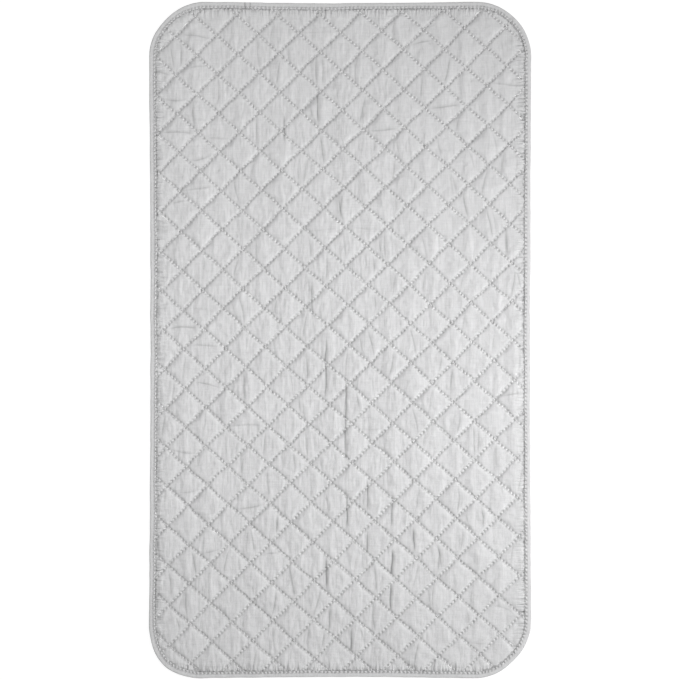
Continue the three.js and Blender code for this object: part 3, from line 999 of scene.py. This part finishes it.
# %% Thread
thread = new_material("thread_grey")
set_finish(thread, Roughness=0.6, Sheen_Weight=0.2)
turn_round, way_along = counts_in(thread, "twist")
twist = total(thread, times(thread, turn_round, 3.0), times(thread, way_along, 5.0))
rib = calc(thread, "SINE", times(thread, twist, TURN))
paint(thread, scaled(thread, rib, 0.05, 0.74))
emboss(thread, rib, 0.6, 0.08 * MM)
print(thread.name, "has", len(thread.node_tree.nodes), "nodes")

# %% One stitch
bpy.ops.object.select_all(action="DESELECT")
bpy.ops.mesh.primitive_uv_sphere_add(segments=6, ring_count=6, radius=0.5)
stitch = bpy.context.object
bpy.ops.object.mode_set(mode="EDIT")
bpy.ops.mesh.select_all(action="SELECT")
bpy.ops.transform.rotate(value=math.pi / 2, orient_axis="Y", center_override=(0, 0, 0))
bpy.ops.object.mode_set(mode="OBJECT")
stitch_points = points_of(stitch)
stitch_points[:, 0] = np.sign(stitch_points[:, 0]) * np.abs(2 * stitch_points[:, 0]) ** 0.8 / 2
stitch_faces = [list(f.vertices) for f in stitch.data.polygons]
stitch_uv = np.array([corner.uv[:] for corner in stitch.data.uv_layers[0].data])
print("one stitch has", len(stitch_faces), "faces")
bpy.ops.object.delete()


# %% Copy it along a row
def sew(name, starts, ends, z, size, dive, facing=1):
    """Copies of the stitch from each start to each end, turned over where facing is -1."""
    length, width, height = size
    middle, way = (starts + ends) / 2, ends - starts
    way = way / np.linalg.norm(way, axis=1)[:, None]
    dice = np.random.default_rng(len(starts))
    share = dice.normal(1, 0.04, len(starts))
    lean = dice.normal(0, 0.05, len(starts))
    along = way + lean[:, None] * way[:, ::-1] * (-1, 1)
    across = along[:, ::-1] * (-1, 1)
    px, py, pz = stitch_points.T
    xy = (
        middle[:, None, :]
        + along[:, None, :] * (length * share[:, None] * px)[:, :, None]
        + across[:, None, :] * (facing * width * py)[None, :, None]
    )
    arch = np.broadcast_to(z, len(starts))[:, None] + facing * (height * pz - dive * 4 * px**2)[None, :]
    points = np.dstack([xy, arch]).reshape(-1, 3)
    faces = [[v + k * len(stitch_points) for v in f] for k in range(len(starts)) for f in stitch_faces]
    mesh = bpy.data.meshes.new(name)
    mesh.from_pydata(points.tolist(), [], faces)
    twist_map = mesh.uv_layers.new(name="twist")
    twist_map.data.foreach_set("uv", np.tile(stitch_uv, (len(starts), 1)).ravel())
    piece = bpy.data.objects.new(name, mesh)
    bpy.context.collection.objects.link(piece)
    return piece


# %% Quilting stitches
QUILTING_STITCH = (3.9 * MM, 1.0 * MM, 0.6 * MM)  # length, width and height
QUILTING_Z, QUILTING_DIVE = SEAM_Z + 0.25 * MM, 0.5 * MM
QUILTING_MARGIN = 7 * MM


def quilting(name, rising):
    """All the stitches of the rising or of the falling rows."""
    starts, ends = [], []
    for row in range(-REACH, REACH + 1):
        number = np.arange(-REACH * PER_ROW_STEP, REACH * PER_ROW_STEP).astype(int)
        low, high = ((number + shift - row * ROW_START) / PER_ROW_STEP for shift in (0, 1))
        rows = np.full(len(number), float(row))
        a = np.column_stack(place_of(rows, low) if rising else place_of(low, rows))
        b = np.column_stack(place_of(rows, high) if rising else place_of(high, rows))
        shown = np.minimum(depth_inside(*a.T), depth_inside(*b.T)) > QUILTING_MARGIN
        starts.append(np.column_stack(sewn(*a[shown].T)))
        ends.append(np.column_stack(sewn(*b[shown].T)))
    starts, ends = np.concatenate(starts), np.concatenate(ends)
    return sew(name, starts, ends, QUILTING_Z, QUILTING_STITCH, QUILTING_DIVE)


rising_stitches = quilting("quilting_stitches_rising", True)
finish_piece(rising_stitches, thread, "thread", "quilting_thread")
falling_stitches = quilting("quilting_stitches_falling", False)
finish_piece(falling_stitches, thread, "thread", "quilting_thread")

# %% Binding stitches
UPPER_STITCH = (3.5 * MM, 0.75 * MM, 0.55 * MM)
LOWER_STITCH = (3.5 * MM, 0.75 * MM, 0.5 * MM)
UPPER_Z, LOWER_Z, BINDING_DIVE = 3.35 * MM, 0.32 * MM, 0.45 * MM


def seam_point(u):
    """A needle hole of the binding's seam, u metres along the edge."""
    x, y, out_x, out_y = edge_place(u)
    inward = SEAM_IN + sway_of(u, SEAM_IN)
    return np.column_stack(sewn(x - inward * out_x, y - inward * out_y))


u = np.arange(round(PERIMETER / TAPE_STITCH)) * TAPE_STITCH
starts, ends = seam_point(u), seam_point(u + TAPE_STITCH)
upper_stitches = sew("binding_stitches_upper", starts, ends, UPPER_Z, UPPER_STITCH, BINDING_DIVE)
finish_piece(upper_stitches, thread, "thread", "binding_thread_upper")
lower_stitches = sew("binding_stitches_lower", starts, ends, LOWER_Z, LOWER_STITCH, BINDING_DIVE, -1)
finish_piece(lower_stitches, thread, "thread", "binding_thread_lower")

# %% [markdown]
# ## Magnets
# A thin disc magnet lies in each corner, under the wadding. It could be a new cylinder, but the discs
# are hard pieces and the CAD has made them already, so they stay and only get their finish: nickel
# plating with fine rubbed marks, which change how rough it is.

# %% Finish the magnets
RUB_WIDTH, RUB_LENGTH = 0.6 * MM, 6 * MM
nickel = new_material("magnet_nickel")
set_finish(nickel, Metallic=1.0, Base_Color=(0.66, 0.64, 0.60, 1))
rubs = noise(nickel, own_place(nickel), RUB_WIDTH, RUB_LENGTH, 4.0, 3.0)
nickel.node_tree.links.new(scaled(nickel, rubs, 0.3, 0.2), shader_of(nickel).inputs["Roughness"])
for name in ("magnet_front_left", "magnet_front_right", "magnet_back_left", "magnet_back_right"):
    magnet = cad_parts[name]
    magnet.data.materials.clear()
    magnet.data.materials.append(nickel)
    print(name, "is finished in", nickel.name)

# %% [markdown]
# ## Floor, light and camera
# The pad lies flat on a white floor and is seen straight from above through a long lens. A floor lit
# until it turns white would need so much light that the cloth turned white too. So the floor and the
# world are white only to rays that show them directly, and the lamps stay at a plain level. The light
# comes mostly from all round. A soft lamp near the right side and a distant one behind it make the
# channels and creases show, and a broad lamp overhead on the left evens the pad out.


# %% Floor
def seen_directly(material):
    """1 for rays that show the surface itself: from the camera, mirrored or through glass."""
    path = add_node(material, "ShaderNodeLightPath")
    seen = calc(material, "MAXIMUM", path.outputs["Is Camera Ray"], path.outputs["Is Glossy Ray"])
    return calc(material, "MAXIMUM", seen, path.outputs["Is Transmission Ray"])


FLOOR_SIZE, FLOOR_Z = 8, -0.2 * MM
bpy.ops.object.select_all(action="DESELECT")
bpy.ops.mesh.primitive_plane_add(size=FLOOR_SIZE, location=(0, 0, FLOOR_Z))
floor = bpy.context.object
floor.name = "floor"
white = new_material("white_floor")
set_finish(white, Roughness=1.0, Specular_IOR_Level=0.0)
seen = seen_directly(white)
paint(white, ramp(white, seen, 0.0, 1.0, 0.9, 0.2))
glow = add_node(white, "ShaderNodeEmission", Strength=times(white, seen, 0.88))
both = add_node(white, "ShaderNodeAddShader", _0=shader_of(white).outputs[0], _1=glow.outputs[0])
white.node_tree.links.new(both.outputs[0], white.node_tree.nodes["Material Output"].inputs["Surface"])
floor.data.materials.append(white)
print("the floor is", FLOOR_SIZE, "m wide")

# %% Light from all round
WHITE = (1, 1, 1, 1)
world = bpy.data.worlds.new("studio")
bpy.context.scene.world = world
world.use_nodes = True
room = world.node_tree.nodes["Background"]
room.inputs["Color"].default_value = WHITE
room.inputs["Strength"].default_value = 0.38
backdrop = add_node(world, "ShaderNodeBackground", Color=WHITE, Strength=1.0)
direct = seen_directly(world)
either = add_node(world, "ShaderNodeMixShader", Fac=direct, _1=room.outputs[0], _2=backdrop.outputs[0])
world.node_tree.links.new(either.outputs[0], world.node_tree.nodes["World Output"].inputs["Surface"])
print("the world has", len(world.node_tree.nodes), "nodes")


# %% Lamps
def add_lamp(kind, name, place, aim, power):
    lamp = bpy.data.lights.new(name, kind)
    lamp.energy = power
    holder = bpy.data.objects.new(name, lamp)
    holder.location = place
    holder.rotation_euler = (Vector(aim) - holder.location).to_track_quat("-Z", "Y").to_euler()
    bpy.context.collection.objects.link(holder)
    print(name, "at", place, "with", power)
    return lamp


near = add_lamp("AREA", "near_lamp", (0.95, -0.14, 0.6), (-0.6, 0.0, 0.1), 4.3)
near.size, near.spread = 0.3, math.radians(110)
far = add_lamp("SUN", "far_lamp", (2, 0, 1.5), (0, 0, 0), 0.4)
far.angle = math.radians(14)
overhead = add_lamp("AREA", "top_lamp", (-0.45, 0.2, 1.0), (-0.45, 0.2, 0.0), 3.6)
overhead.shape, overhead.size, overhead.size_y = "RECTANGLE", 0.4, 1.2

# %% Camera
HEIGHT, PAD_TOP = 3.0, 3 * MM
SENSOR = 36
PICTURE, PAD_IN_PICTURE = 680, 678  # pixels: the picture's height and the pad's length in it
eye = bpy.data.cameras.new("eye")
eye.sensor_width = SENSOR
eye.lens = SENSOR * HEIGHT / (2 * HALF_LENGTH * PICTURE / PAD_IN_PICTURE)
camera = bpy.data.objects.new("camera", eye)
camera.location = (0, 0, HEIGHT + PAD_TOP)
bpy.context.collection.objects.link(camera)
bpy.context.scene.camera = camera
bpy.context.scene.view_settings.view_transform = "Standard"
print("a lens of", round(eye.lens), "mm,", HEIGHT, "m above the pad")
